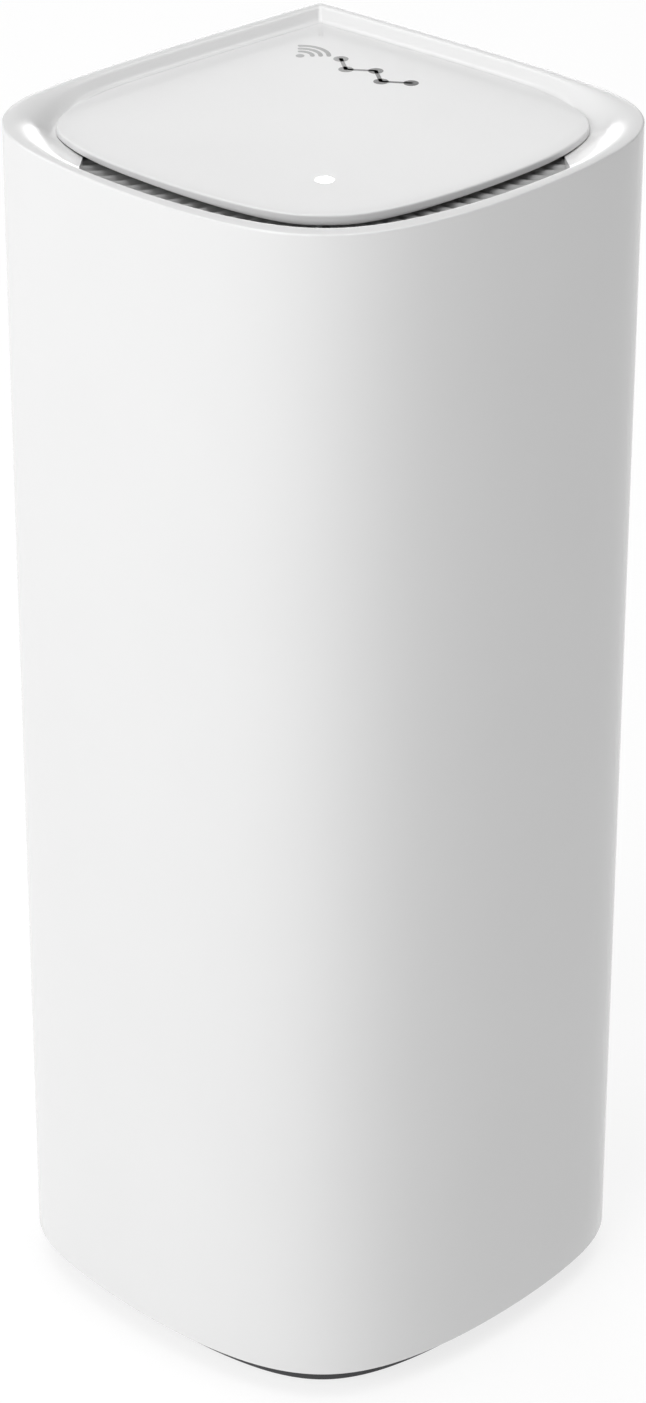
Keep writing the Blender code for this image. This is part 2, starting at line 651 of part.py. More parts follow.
def make_io_panel():
    (left, right), (low, high), (back, face) = PANEL_X, PANEL_Z, PANEL_Y
    panel = box("io_panel", (left, back, low), (right, PANEL_LIP_Y, high), CHARCOAL)
    cut(panel, box("panel_recess", (left + 1.6, face, low + 1.6), (right - 1.6, 45, high - 1.6), None))
    windows = [((x - 6.6, 30, z - 5.4), (x + 6.6, 40, z + 5.4)) for _, x, z in SOCKETS]
    windows.append(((CONTROL_X - 4.1, 30, ROCKER_Z - 5.9), (CONTROL_X + 4.1, 40, ROCKER_Z + 5.9)))
    cut(panel, boxes("panel_windows", windows))
    cut(panel, rods("jack_hole", [((CONTROL_X, 30, JACK_Z), (CONTROL_X, 40, JACK_Z))], 3.6, 24))
    return cut(panel, rods("pair_hole", [((CONTROL_X, 30, PAIR_Z), (CONTROL_X, 40, PAIR_Z))], 3.9, 24))


def make_socket(name, x, z):
    """Shielded eight-way data socket: plug bay with the latch slot above it, and its contacts below."""
    back, mouth = SOCKET_Y
    body = box(name, (x - 7.9, back, z - 6.9), (x + 7.9, mouth, z + 6.9), STEEL)
    steps = [((x - 5.9, mouth - 11.5, z - 4.2), (x + 5.9, 40, z + 3.0)),
             ((x - 3.1, mouth - 11.5, z + 2.0), (x + 3.1, 40, z + 4.4)),
             ((x - 1.7, mouth - 11.5, z + 3.4), (x + 1.7, 40, z + 5.4))]
    for k, (low, high) in enumerate(steps):
        cut(body, box(f"{name}_bay_{k}", low, high, None))
    row = name.replace("socket", "contacts")
    bar = box(row, (x - 5.0, mouth - 11.2, z - 3.9), (x + 5.0, mouth - 9.6, z - 1.2), GOLD)
    for k in range(8):
        pin = x - 3.57 + 1.02 * k
        front = mouth - 2.4
        profile = [(mouth - 9.8, z - 3.8), (front, z - 3.8), (front, z - 3.4), (mouth - 9.8, z - 1.6)]
        join(bar, extrusion(f"{name}_pin_{k}", profile, "X", pin - 0.22, pin + 0.22, GOLD))
    return body


def make_dc_jack():
    back, mouth = SOCKET_Y
    body = box("dc_jack", (CONTROL_X - 4.8, back, JACK_Z - 4.8), (CONTROL_X + 4.8, mouth, JACK_Z + 4.8), BLACK)
    cut(body, rods("jack_bore", [((CONTROL_X, mouth - 9.5, JACK_Z), (CONTROL_X, 40, JACK_Z))], 3.1, 24))
    rod("dc_jack_pin", (CONTROL_X, mouth - 9.2, JACK_Z), (CONTROL_X, mouth - 0.7, JACK_Z), 1.0, STEEL, 16)


def make_power_switch():
    back, mouth = SOCKET_Y
    x, z = CONTROL_X, ROCKER_Z
    body = box("power_switch", (x - 5.3, back, z - 6.4), (x + 5.3, mouth, z + 6.4), BLACK)
    cut(body, box("switch_pocket", (x - 4.0, 26, z - 5.3), (x + 4.0, 40, z + 5.3), None))
    profile = [(5.2, -4.7), (3.9, 0), (5.2, 4.7), (0.5, 4.4), (-3.2, 2.2), (-3.2, -2.2), (0.5, -4.4)]
    rocker = extrusion("power_rocker", profile, "X", -3.6, 3.6, BLACK, (x, ROCKER_PIVOT_Y, z))
    rocker.rotation_euler.x = math.radians(ROCKER_REST)
    return bevel(rocker, 0.25)


def make_buttons():
    x, z = CONTROL_X, PAIR_Z
    pair = rod("pair_button", (x, 32.6, z), (x, 37.2, z), 3.5, WHITE, 28)
    join(pair, rod("pair_flange", (x, 32.2, z), (x, 33.3, z), 4.7, WHITE, 24))
    join(pair, rod("pair_stem", (x, 24.4, z), (x, 32.6, z), 1.4, WHITE, 12))
    box("pair_switch", (x - 3, SOCKET_Y[0], z - 3), (x + 3, SOCKET_Y[0] + 3.0, z + 3), BLACK)
    x, y = RESET_PLACE
    reset = rod("reset_button", (x, y, 1.7), (x, y, 4.8), 2.3, RED, 20)
    join(reset, rod("reset_flange", (x, y, 4.3), (x, y, 5.3), 3.4, RED, 20))
    join(reset, rod("reset_stem", (x, y, 5.0), (x, y, 11.6), 1.2, RED, 12))
    box("reset_switch", (x - 3, 13.4, 12.6), (x + 3, BOARD_Y[0] - GAP, 16.6), BLACK)


make_outer_shell()
make_vent_grille()
make_top_lid()
make_led()
make_top_carrier()
make_base_housing()
make_foot()
make_chassis()
make_main_board()
make_heatsinks()
make_antennas()
make_io_panel()
for socket_name, socket_x, socket_z in SOCKETS:
    make_socket(socket_name, socket_x, socket_z)
make_dc_jack()
make_power_switch()
make_buttons()
for number, (screw_x, screw_y) in enumerate(SCREW_PLACES, 1):
    screw(f"base_screw_{number}", (screw_x, screw_y, 1.3), (0, 0, 1), 10.5)
for number, (screw_x, screw_z) in enumerate(BOARD_SCREWS, 1):
    screw(f"board_screw_{number}", (screw_x, BOARD_Y[1] + GAP + 1.0, screw_z), (0, -1, 0), 7.0)
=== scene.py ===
"""Looks of the mesh wifi node: a white tower with a dished top, a floating lid and a ribbed vent.

Lengths in the formulas are millimetres, scaled by MM when they become a mesh. Z is up, the front is -Y.
"""

import math

import bmesh
import bpy
import numpy as np
from mathutils import Euler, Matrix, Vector


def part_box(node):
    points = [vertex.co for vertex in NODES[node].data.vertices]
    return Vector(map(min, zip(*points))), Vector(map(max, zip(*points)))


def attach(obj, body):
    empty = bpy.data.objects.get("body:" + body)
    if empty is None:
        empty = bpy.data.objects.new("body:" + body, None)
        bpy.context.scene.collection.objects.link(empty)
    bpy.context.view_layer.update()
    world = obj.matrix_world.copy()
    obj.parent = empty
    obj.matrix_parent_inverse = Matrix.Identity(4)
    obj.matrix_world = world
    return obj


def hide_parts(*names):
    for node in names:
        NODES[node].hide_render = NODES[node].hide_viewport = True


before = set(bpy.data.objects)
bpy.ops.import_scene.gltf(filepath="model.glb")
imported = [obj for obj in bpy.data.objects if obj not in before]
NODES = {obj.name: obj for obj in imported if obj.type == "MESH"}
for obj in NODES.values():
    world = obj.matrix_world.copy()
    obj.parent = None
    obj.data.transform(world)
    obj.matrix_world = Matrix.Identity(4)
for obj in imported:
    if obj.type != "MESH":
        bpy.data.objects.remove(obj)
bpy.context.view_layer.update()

MM = 0.001


def corners(node):
    """A node's lowest and highest corner at rest, in millimetres."""
    low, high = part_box(node)
    return np.array(low) / MM, np.array(high) / MM


SHELL_LOW, SHELL_HIGH = corners("outer_shell")
PANEL_LOW, PANEL_HIGH = corners("io_panel")
PIPE_LOW, PIPE_HIGH = corners("led_light_pipe")

# ------------------------------------------------------------------ driving sizes
BACK_LEAN = math.radians(40.3)      # between a side at the back corner and the cross diagonal
BENDS = (0.19, 0.0, 0.24, 0.64, 7.69, 1.22, 0.72, 1.66, 5.49)    # relative curvature at even stops
TOP = SHELL_HIGH[2]
SHELL_FOOT = SHELL_LOW[2]
WALL = 2.4
LID_TOP = corners("top_lid")[1][2]
BASE_TOP = corners("base_housing")[1][2]
RING_TOP = corners("foot_ring")[1][2]
LID_SHARES = (0.0, 0.34, 0.42, 0.48, 0.56, 0.64, 0.80, 0.90, 1.0)
LID_INSETS = (4.6, 4.6, 6.4, 8.6, 9.9, 10.1, 11.4, 12.1, 13.1)
LOOSE_FROM, LOOSE_TO = 0.36, 0.47
RIM_WIDTH, RIM_GROWTH = 1.35, 1.25  # at the back, and what the front corner has more
LID_THICK, LID_GROWTH = 1.25, 0.85
VENT_FROM = 0.56
VENT_HALF = 39.0                    # the vent's ends lie on two planes this far from the diagonal
RIB_PITCH = 2.85                    # measured along the lid's edge
FOOT_INSET = 5.1
LIGHT = (PIPE_LOW + PIPE_HIGH) / 2
LIGHT_RADIUS = 1.5
LIGHT_GAP = 0.06
VENT_BOTTOM, VENT_TOP = 205.0, 223.5
VENT_DEEPEST = 18.0                 # inset of the vent's inner edge, under the lid
RIB_DEPTH = 0.8
GRILLE_THICK = 2.6
FOOT_START = 0.3                    # height of the dark foot's lower edge
FOOT_RING = (6.5, 14.5)             # insets of the rubber ring's outer and inner edge
MARK_ORIGIN = (-31.2, 22.3)
PANEL_FACE = 36.0


# ------------------------------------------------------------------ plan outline

def half_outline(steps=2400):
    """Half of the plan outline, from the sharp back corner to the soft front corner.

    Equal steps whose heading turns with the curvature interpolated between BENDS; the whole half
    turns by half a circle less the lean. Scaled to the shell's width, on axes with the tower's own
    diagonal up the page.
    """
    middles = (np.arange(steps) + 0.5) / steps
    bend = np.interp(middles, np.linspace(0, 1, len(BENDS)), BENDS)
    bend *= (math.pi - BACK_LEAN) / bend.sum()
    headings = math.pi + BACK_LEAN + np.concatenate(([0.0], np.cumsum(bend)))
    middle = (headings[1:] + headings[:-1]) / 2
    points = np.zeros((steps + 1, 2))
    points[1:] = np.cumsum(np.column_stack((np.cos(middle), np.sin(middle))), axis=0)
    shares = np.linspace(0, 1, steps + 1)
    points[:, 0] -= shares * points[-1, 0]
    return shares, points, headings


def to_tower(diagonal):
    """Turn by an eighth, so that the sharp corner comes to the back left."""
    across, up = diagonal[..., 0], diagonal[..., 1]
    return np.stack((across - up, across + up), axis=-1) * math.sqrt(0.5)


SHARES, HALF, HEADINGS = half_outline()
BOTH = to_tower(np.vstack((HALF, HALF * (-1, 1))))
SCALE = (SHELL_HIGH[0] - SHELL_LOW[0]) / np.ptp(BOTH[:, 0])
HALF *= SCALE
CENTRE = (BOTH.max(axis=0) + BOTH.min(axis=0)) / 2 * SCALE - (SHELL_LOW + SHELL_HIGH)[:2] / 2
LENGTH = np.linalg.norm(np.diff(HALF, axis=0), axis=1).sum()


def half_at(shares):
    """Points and inward normals of the half outline at the given shares."""
    points = np.stack([np.interp(shares, SHARES, HALF[:, k]) for k in (0, 1)], axis=-1)
    heading = np.interp(shares, SHARES, HEADINGS)
    return points, np.stack((-np.sin(heading), np.cos(heading)), axis=-1)


def even_stops(count, first=0.0, turning=0.55):
    """Stops from 0 to 1 along the half from share first: part evenly by turn, part evenly by length."""
    weight = turning * (HEADINGS - HEADINGS[0]) / np.ptp(HEADINGS) + (1 - turning) * SHARES
    wanted = np.linspace(np.interp(first, SHARES, weight), weight[-1], count)
    return (np.interp(wanted, weight, SHARES) - first) / (1 - first)


def value(setting, shares):
    """A law worked out at each share, or a number repeated."""
    return setting(shares) if callable(setting) else np.full(len(shares), float(setting))


ARC = 7                             # points on each half of the back corner's rounding


def ring(inset, height, fillet=0.8, stops=even_stops(150)):
    """Closed ring of points at an inset from the outline and at a height, each a number or a law of share.

    The back corner is rounded by an arc whose centre lies on the diagonal, fillet plus inset from
    both sides; each side starts where the arc ends and runs to the front corner, pushed in along its
    normals. The left half is computed and the right half is its mirror image.
    """
    inset_at_corner = float(value(inset, np.zeros(1))[0])
    start = math.tan(BACK_LEAN) * (inset_at_corner + fillet) / LENGTH
    shares = start + (1 - start) * stops
    points, inward = half_at(shares)
    side = points + inward * value(inset, shares)[:, None]
    swing = np.linspace(0, BACK_LEAN, ARC + 1)[:-1]
    heart = HALF[0, 1] - (inset_at_corner + fillet) / math.cos(BACK_LEAN)
    arc = np.column_stack((-np.sin(swing), np.cos(swing))) * fillet + (0, heart)
    half = np.vstack((arc, side))
    shares = np.concatenate((np.zeros(ARC), shares))
    whole = np.vstack((half, (half * (-1, 1))[-2:0:-1]))
    shares = np.concatenate((shares, shares[-2:0:-1]))
    return np.column_stack((to_tower(whole) - CENTRE, value(height, shares)))


def path(first, count):
    """Open path round the front from the left half to the right: points, inward normals, shares, run.

    Run is the signed length from the front corner, negative on the left.
    """
    shares = first + (1 - first) * even_stops(count, first)
    points, inward = half_at(shares)
    run = (1 - shares) * LENGTH
    mirror = slice(-2, None, -1)
    points = np.vstack((points, points[mirror] * (-1, 1)))
    inward = np.vstack((inward, inward[mirror] * (-1, 1)))
    return (to_tower(points) - CENTRE, to_tower(inward), np.concatenate((shares, shares[mirror])),
            np.concatenate((-run, run[mirror])))


def smooth_step(t):
    t = np.clip(t, 0, 1)
    return t * t * (3 - 2 * t)


def looseness(shares):
    """0 at the back, where the lid lies flush in the bowl, to 1 where it floats free."""
    return smooth_step((shares - LOOSE_FROM) / (LOOSE_TO - LOOSE_FROM))


def rounded_law(shares, knots, values, reach=0.035):
    """Straight stretches between knots, averaged over a short reach so that they join smoothly."""
    offsets = np.linspace(-reach, reach, 9)
    weights = np.cos(offsets / reach * math.pi / 2) + 0.05
    samples = [np.interp(np.abs(1 - np.abs(1 - (shares + o))), knots, values) for o in offsets]
    return np.average(samples, axis=0, weights=weights)


def rim_edge(shares):
    """Inset of the flat rim's inner edge; it widens towards the front corner."""
    return RIM_WIDTH + RIM_GROWTH * smooth_step((shares - 0.62) / 0.38)


def lid_thickness(shares):
    """Thickness of the lid at its edge, greater round the front corner."""
    return LID_THICK + LID_GROWTH * smooth_step((shares - 0.70) / 0.25)


def lid_edge(shares):
    """Inset of the lid's edge."""
    return rounded_law(shares, LID_SHARES, LID_INSETS)


# ------------------------------------------------------------------ meshes

def mesh_of(name, points, faces):
    mesh = bpy.data.meshes.new(name)
    mesh.from_pydata((np.reshape(points, (-1, 3)) * MM).tolist(), [], faces)
    mesh.update()
    return mesh


def grid_faces(rows, columns, wrap_rows):
    """Quads between neighbours of a grid of closed rings, whose points are numbered ring by ring."""
    number = np.arange(rows * columns).reshape(rows, columns)
    below = number if wrap_rows else number[:-1]
    above = np.roll(number, -1, axis=0) if wrap_rows else number[1:]
    right_below, right_above = np.roll(below, -1, axis=1), np.roll(above, -1, axis=1)
    return np.stack((below, right_below, right_above, above), axis=-1).reshape(-1, 4).tolist()


def finish_normals(mesh, sharp):
    """Merge doubles, turn faces outward and shade smooth except across sharp edges."""
    bm = bmesh.new()
    bm.from_mesh(mesh)
    bmesh.ops.remove_doubles(bm, verts=bm.verts, dist=1e-6)
    bmesh.ops.recalc_face_normals(bm, faces=bm.faces)
    bm.to_mesh(mesh)
    bm.free()
    mesh.shade_smooth()
    mesh.set_sharp_from_angle(angle=math.radians(sharp))
    return mesh


def place(name, mesh):
    made = bpy.data.objects.new(name, mesh)
    bpy.context.scene.collection.objects.link(made)
    return made


def solid(name, rows, wrap_rows=False, capped=True):
    """Closed solid from rings of points; ends that aren't joined get a cap across the ring."""
    rows = np.asarray(rows, float)
    count, columns = rows.shape[:2]
    faces = grid_faces(count, columns, wrap_rows)
    if capped and not wrap_rows:
        faces.append(list(range(columns)))
        faces.append(list(range((count - 1) * columns, count * columns)))
    return place(name, finish_normals(mesh_of(name, rows, faces), 35))


def block(name, low, high, radius=0.0, segments=3):
    """Box between two corners, its edges rounded."""
    bm = bmesh.new()
    bmesh.ops.create_cube(bm, size=1.0)
    low, high = Vector(low), Vector(high)
    bmesh.ops.scale(bm, vec=high - low, verts=bm.verts)
    bmesh.ops.translate(bm, vec=(low + high) / 2, verts=bm.verts)
    if radius:
        bmesh.ops.bevel(bm, geom=bm.edges[:], offset=radius, segments=segments, profile=0.5,
                        affect="EDGES")
    bmesh.ops.scale(bm, vec=(MM,) * 3, verts=bm.verts)
    mesh = bpy.data.meshes.new(name)
    bm.to_mesh(mesh)
    bm.free()
    return place(name, finish_normals(mesh, 30))


def turned(name, centre, axis, profile, sides=64):
    """Profile of (radius, distance along the axis) turned about the axis; it closes at radius 0."""
    angle = np.linspace(0, 2 * math.pi, sides, endpoint=False)
    axis = np.array(axis, float)
    side = np.array((1.0, 0, 0)) if abs(axis[0]) < 0.5 else np.array((0, 1.0, 0))
    other = np.cross(axis, side)
    circle = np.cos(angle)[:, None] * side + np.sin(angle)[:, None] * other
    rows = [np.array(centre) + axis * along + circle * radius for radius, along in profile]
    open_ends = profile[0][0] > 0 or profile[-1][0] > 0
    return solid(name, rows, capped=open_ends)


def carve(piece, *tools):
    """Cut the tools out of a piece, and keep the result as its mesh."""
    for tool in tools:
        step = piece.modifiers.new("carve", "BOOLEAN")
        step.operation = "DIFFERENCE"
        step.object = tool
    bpy.context.view_layer.update()
    finished = piece.evaluated_get(bpy.context.evaluated_depsgraph_get())
    shaped = bpy.data.meshes.new_from_object(finished)
    piece.modifiers.clear()
    piece.data = shaped
    for tool in tools:
        bpy.data.objects.remove(tool, do_unlink=True)
    shaped.shade_smooth()
    shaped.set_sharp_from_angle(angle=math.radians(35))
    return piece


def merge(name, *pieces):
    """Several pieces made into one object without changing their shapes."""
    bm = bmesh.new()
    for piece in pieces:
        bm.from_mesh(piece.data)
        bpy.data.objects.remove(piece, do_unlink=True)
    mesh = bpy.data.meshes.new(name)
    bm.to_mesh(mesh)
    bm.free()
    mesh.shade_smooth()
    mesh.set_sharp_from_angle(angle=math.radians(35))
    return place(name, mesh)


# ------------------------------------------------------------------ materials

class Signal:
    """A socket's value in a finish; the operators add Math nodes."""

    def __init__(self, finish, socket):
        self.finish, self.socket = finish, socket

    def math(self, operation, *values):
        return self.finish.node("ShaderNodeMath", {"operation": operation}, dict(enumerate(values)))

    def __add__(self, other):
        return self.math("ADD", self, other)

    __radd__ = __add__

    def __sub__(self, other):
        return self.math("SUBTRACT", self, other)

    def __rsub__(self, other):
        return self.math("SUBTRACT", other, self)

    def __mul__(self, other):
        return self.math("MULTIPLY", self, other)

    __rmul__ = __mul__


class Finish:
    """A procedural material round one Principled shader, whose uniform values are set on its sockets."""

    def __init__(self, name, colour, roughness, **uniform):
        self.material = bpy.data.materials.new(name)
        self.material.use_nodes = True
        self.nodes = self.material.node_tree.nodes
        self.links = self.material.node_tree.links
        self.shader = self.nodes["Principled BSDF"]
        self.shader.inputs["Base Color"].default_value = (*colour, 1.0)
        self.shader.inputs["Roughness"].default_value = roughness
        for key, setting in uniform.items():
            self.shader.inputs[key.title()].default_value = setting
        self.place = self.node("ShaderNodeTexCoord", {}, {}, "Object")

    def node(self, kind, settings, inputs, output=0):
        """Add a node: its settings first, then each input's value or link; gives one output."""
        made = self.nodes.new(kind)
        for key, setting in settings.items():
            setattr(made, key, setting)
        for key, given in inputs.items():
            if isinstance(given, Signal):
                self.links.new(given.socket, made.inputs[key])
            else:
                made.inputs[key].default_value = given
        return Signal(self, made.outputs[output])

    def noise(self, scale, detail=3.0, roughness=0.5, stretch=(1, 1, 1)):
        """Noise from 0 to 1 on object coordinates; scale is in features per metre."""
        spot = self.node("ShaderNodeMapping", {}, {"Vector": self.place, "Scale": stretch})
        return self.node("ShaderNodeTexNoise", {}, {"Vector": spot, "Scale": scale, "Detail": detail,
                                                    "Roughness": roughness})

    def mix(self, factor, first, second):
        mixed = self.node("ShaderNodeMix", {"data_type": "RGBA"}, {0: factor}, "Result")
        made = mixed.socket.node
        for index, given in ((6, first), (7, second)):
            if isinstance(given, Signal):
                self.links.new(given.socket, made.inputs[index])
            else:
                made.inputs[index].default_value = (*given, 1.0)
        return Signal(self, made.outputs[2])

    def feed(self, socket, signal):
        self.links.new(signal.socket, self.shader.inputs[socket])

    def bump(self, height, depth):
        """Tilt the surface by a height signal whose full depth is given in millimetres."""
        self.feed("Normal", self.node("ShaderNodeBump", {}, {"Height": height, "Distance": depth * MM,
                                                             "Strength": 1.0}))


def moulded(name, colour, roughness, grain=0.012, spread=0.05, tint=0.03, **uniform):
    """Moulded plastic: spark-eroded grain as bump, roughness that drifts, and a faint drift of tone."""
    finish = Finish(name, colour, roughness, **uniform)
    broad = finish.noise(38.0, 2.0)
    fine = finish.noise(5200.0, 2.0, 0.6)
    finish.feed("Roughness", roughness + (broad - 0.5) * spread * 2 + (fine - 0.5) * spread)
    darker = tuple(c * (1 - tint) for c in colour)
    finish.feed("Base Color", finish.mix(broad, darker, colour))
    finish.bump(fine, grain)
    return finish.material


def brushed(name, colour, roughness, stretch=(40, 1, 1)):
    """Drawn metal: noise drawn out along the grain moves tone, roughness and bump together."""
    finish = Finish(name, colour, roughness, metallic=1.0)
    streaks = finish.noise(700.0, 4.0, 0.6, stretch)
    finish.feed("Roughness", roughness + (streaks - 0.5) * 0.25)
    finish.feed("Base Color", finish.mix(streaks, tuple(c * 0.85 for c in colour), colour))
    finish.bump(streaks, 0.004)
    return finish.material


WHITE = moulded("satin_white", (0.80, 0.80, 0.80), 0.20, grain=0.004)
LID_WHITE = moulded("lid_white", (0.80, 0.80, 0.80), 0.34, grain=0.006)
GRILLE = moulded("grille_grey", (0.36, 0.36, 0.36), 0.45)
CHARCOAL = moulded("charcoal", (0.035, 0.035, 0.038), 0.5, grain=0.03)
BLACK = moulded("black_moulding", (0.018, 0.018, 0.019), 0.42)
GLOSS_BLACK = moulded("rocker_black", (0.012, 0.012, 0.012), 0.18, grain=0.002)
RUBBER = moulded("rubber", (0.02, 0.02, 0.02), 0.8, grain=0.05)
RED = moulded("reset_red", (0.5, 0.03, 0.02), 0.35)
BLUE = moulded("wan_blue", (0.02, 0.11, 0.42), 0.4)
STEEL = brushed("plated_steel", (0.62, 0.62, 0.63), 0.28)
GOLD = brushed("contact_gold", (0.86, 0.62, 0.22), 0.22)
ALUMINIUM = brushed("heatsink_aluminium", (0.6, 0.6, 0.62), 0.4, (1, 1, 0.05))
BOARD = moulded("solder_resist", (0.01, 0.09, 0.04), 0.35)
LABEL = moulded("label_film", (0.55, 0.55, 0.56), 0.4, grain=0.002)
NATURAL = moulded("natural_moulding", (0.5, 0.5, 0.48), 0.55)
PAD = moulded("silicone_pad", (0.3, 0.4, 0.55), 0.7)


def print_finish():
    """Grey ink for a metallic print, paler at one end: a painted reflection of the room, mirrored at an
    angle.
    """
    finish = Finish("grey_print", (0.3, 0.3, 0.3), 0.4)
    apart = finish.node("ShaderNodeSeparateXYZ", {}, {0: finish.place})
    # Painted reflection: the ink turns paler towards one end along X, standing in for the room mirrored at
    # an angle.
    painted_reflection = (apart + 0.0305) * 38.0
    speckle = finish.noise(3000.0, 2.0)
    pale, dark = (0.46, 0.46, 0.46), (0.13, 0.13, 0.13)
    finish.feed("Base Color", finish.mix(painted_reflection + (speckle - 0.5) * 0.2, pale, dark))
    finish.feed("Roughness", 0.35 + speckle * 0.15)
    return finish.material


PRINT = print_finish()


def light_finish():
    """Lit diffuser: it glows evenly, a little less towards its edge."""
    finish = Finish("status_light", (0.9, 0.9, 0.9), 0.3)
    spot = finish.node("ShaderNodeVectorMath", {"operation": "DISTANCE"},
                       {0: finish.place, 1: (LIGHT[0] * MM, LIGHT[1] * MM, LID_TOP * MM)}, "Value")
    glow = 1.0 - spot * 120.0
    finish.feed("Emission Color", finish.mix(glow, (0.85, 0.9, 1.0), (1.0, 1.0, 1.0)))
    finish.shader.inputs["Emission Strength"].default_value = 2.2
    return finish.material


GLOW = light_finish()


def dress(piece, finish, body="tower", stands_for=()):
    """Give a piece its material, its body and the CAD nodes that it stands for."""
    piece.data.materials.clear()
    piece.data.materials.append(finish)
    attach(piece, body)
    if stands_for:
        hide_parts(*stands_for)
    return piece


# ------------------------------------------------------------------ shell

def rounded_mouth(name, low, high, radius, near, far, lead=0.0, curve=None):
    """Cutter through the rear wall: a rounded rectangle carried along Y.

    Its last stretch grows by a quarter circle of radius lead, measured from the local outer surface,
    so that the opening gets an even rounded edge.
    """
    angle = np.linspace(0, 2 * math.pi, 97)[:-1] + math.pi / 4
    middle = (np.array(low) + high) / 2
    half = (np.array(high) - low) / 2
    power = np.stack((np.cos(angle), np.sin(angle)), axis=-1)
    corner = np.sign(power) * (half - radius)
    base = middle + corner + power * radius
    rows = [np.column_stack((base[:, 0], np.full(len(base), near), base[:, 1]))]
    for t in np.linspace(0, 1, 5) if lead else ():
        depth = lead * (1 - math.sin(t * math.pi / 2))
        grown = base + power * lead * (1 - math.cos(t * math.pi / 2))
        rows.append(np.column_stack((grown[:, 0], curve(grown[:, 0]) - depth, grown[:, 1])))
    last = rows[-1].copy()
    last[:, 1] = far
    return solid(name, rows + [last])


def rear_surface(x):
    """Y of the shell's outer surface on the rear side at the given X."""
    outline = ring(0.0, 0.0)
    rear = outline[outline[:, 1] > 38]
    order = np.argsort(rear[:, 0])
    return np.interp(x, rear[order, 0], rear[order, 1])


def eased(t, ease_in, ease_out):
    """0 to 1 with a slope that rises over ease_in, stays even, and falls over ease_out."""
    top = 1 / (1 - ease_in / 2 - ease_out / 2)
    late = np.maximum(t - (1 - ease_out), 0)
    early = np.minimum(t, ease_in)
    even = np.maximum(t - ease_in, 0)
    return top * (early ** 2 / (2 * ease_in) + even - late ** 2 / (2 * ease_out))


def bowl_end(shares):
    """Inset at which the bowl ends: at the lid's edge behind, under the lid where it floats."""
    return lid_edge(shares) - 0.04 + 1.9 * looseness(shares)


def bowl_drop(shares):
    """How far the bowl falls below the rim."""
    return TOP - LID_TOP + 2.3 * looseness(shares)


def bowl_shoulder(shares):
    """Share of the bowl's width over which it turns down from the rim: widest at the side corners."""
    return 0.35 + 0.17 * looseness(shares) - 0.40 * smooth_step((shares - 0.545) / 0.115)


def bowl_fall(shares, t):
    """Depth below the rim at the share t of the way across the bowl; it flattens out at the lid behind."""
    return bowl_drop(shares) * eased(t, bowl_shoulder(shares), 0.40 - 0.38 * looseness(shares))


def shell_profile():
    """Rings from the foot up the outside, over the rim, down the bowl, under its lip and down the inside."""
    rings = []
    for t in np.linspace(0, math.pi / 2, 5):
        rings.append(ring(0.4 * (1 - math.sin(t)), SHELL_FOOT + 0.4 * (1 - math.cos(t))))
    for height in np.arange(14.0, TOP - 4, 12.0):
        rings.append(ring(0.0, height))
    edge = 0.35
    for t in np.linspace(0, math.pi / 2, 6):
        rings.append(ring(edge * (1 - math.cos(t)), TOP - edge * (1 - math.sin(t))))
    for t in np.linspace(0, 1, 26):
        rings.append(ring(lambda s: rim_edge(s) + (bowl_end(s) - rim_edge(s)) * t,
                          lambda s: TOP - bowl_fall(s, t), 0.6))

    def lip(shares):
        return TOP - bowl_drop(shares) - 0.9

    def ledge(shares):
        return bowl_end(shares) + 0.4 + 2.0 * (1 - looseness(shares))

    rings += [ring(bowl_end, lip, 0.6), ring(ledge, lip, 0.6), ring(ledge, lambda s: lip(s) - 1.6, 0.6),
              ring(4.6, 211.5, 0.6), ring(WALL, 209.0, 0.6), ring(WALL, SHELL_FOOT, 0.6)]
    return rings


def vent_mouth():
    """Cutter that opens the bowl round the front, from just inside the rim to under the lid."""
    points, inward, shares, run = path(VENT_FROM, 160)
    columns = []
    near = rim_edge(shares) + 0.3
    for inset, height in ((near, VENT_BOTTOM), (near, VENT_TOP),
                          (VENT_DEEPEST, VENT_TOP), (VENT_DEEPEST, VENT_BOTTOM)):
        inset = np.broadcast_to(inset, len(run))
        columns.append(np.column_stack((points + inward * inset[:, None], np.full(len(run), height))))
    return solid("vent_mouth", np.stack(columns, axis=1))


def vent_ends(tool, half):
    """Trim a cutter or strip to the planes on both sides of the diagonal."""
    for way in (-1, 1):
        corner_points = np.array([(half, -80.0), (half, 80.0), (90.0, 80.0), (90.0, -80.0)]) * (way, 1)
        plan = to_tower(corner_points) - CENTRE
        rows = [np.column_stack((plan, np.full(4, height))) for height in (200.0, 230.0)]
        carve(tool, solid("end", rows))
    return tool


def make_shell():
    """Sleeve, rim and bowl in one piece, opened for the vent and the rear panel."""
    shell = solid("shell", shell_profile(), wrap_rows=True)
    low = (PANEL_LOW[0] + 0.8, PANEL_LOW[2] + 0.8)
    high = (PANEL_HIGH[0] - 0.8, PANEL_HIGH[2] - 0.8)
    rear = rounded_mouth("rear_mouth", low, high, 4.0, 32.0, 50.0, 0.5, rear_surface)
    carve(shell, vent_ends(vent_mouth(), VENT_HALF), rear)
    return dress(shell, WHITE, stands_for=("outer_shell",))


make_shell()


# ------------------------------------------------------------------ lid and its light

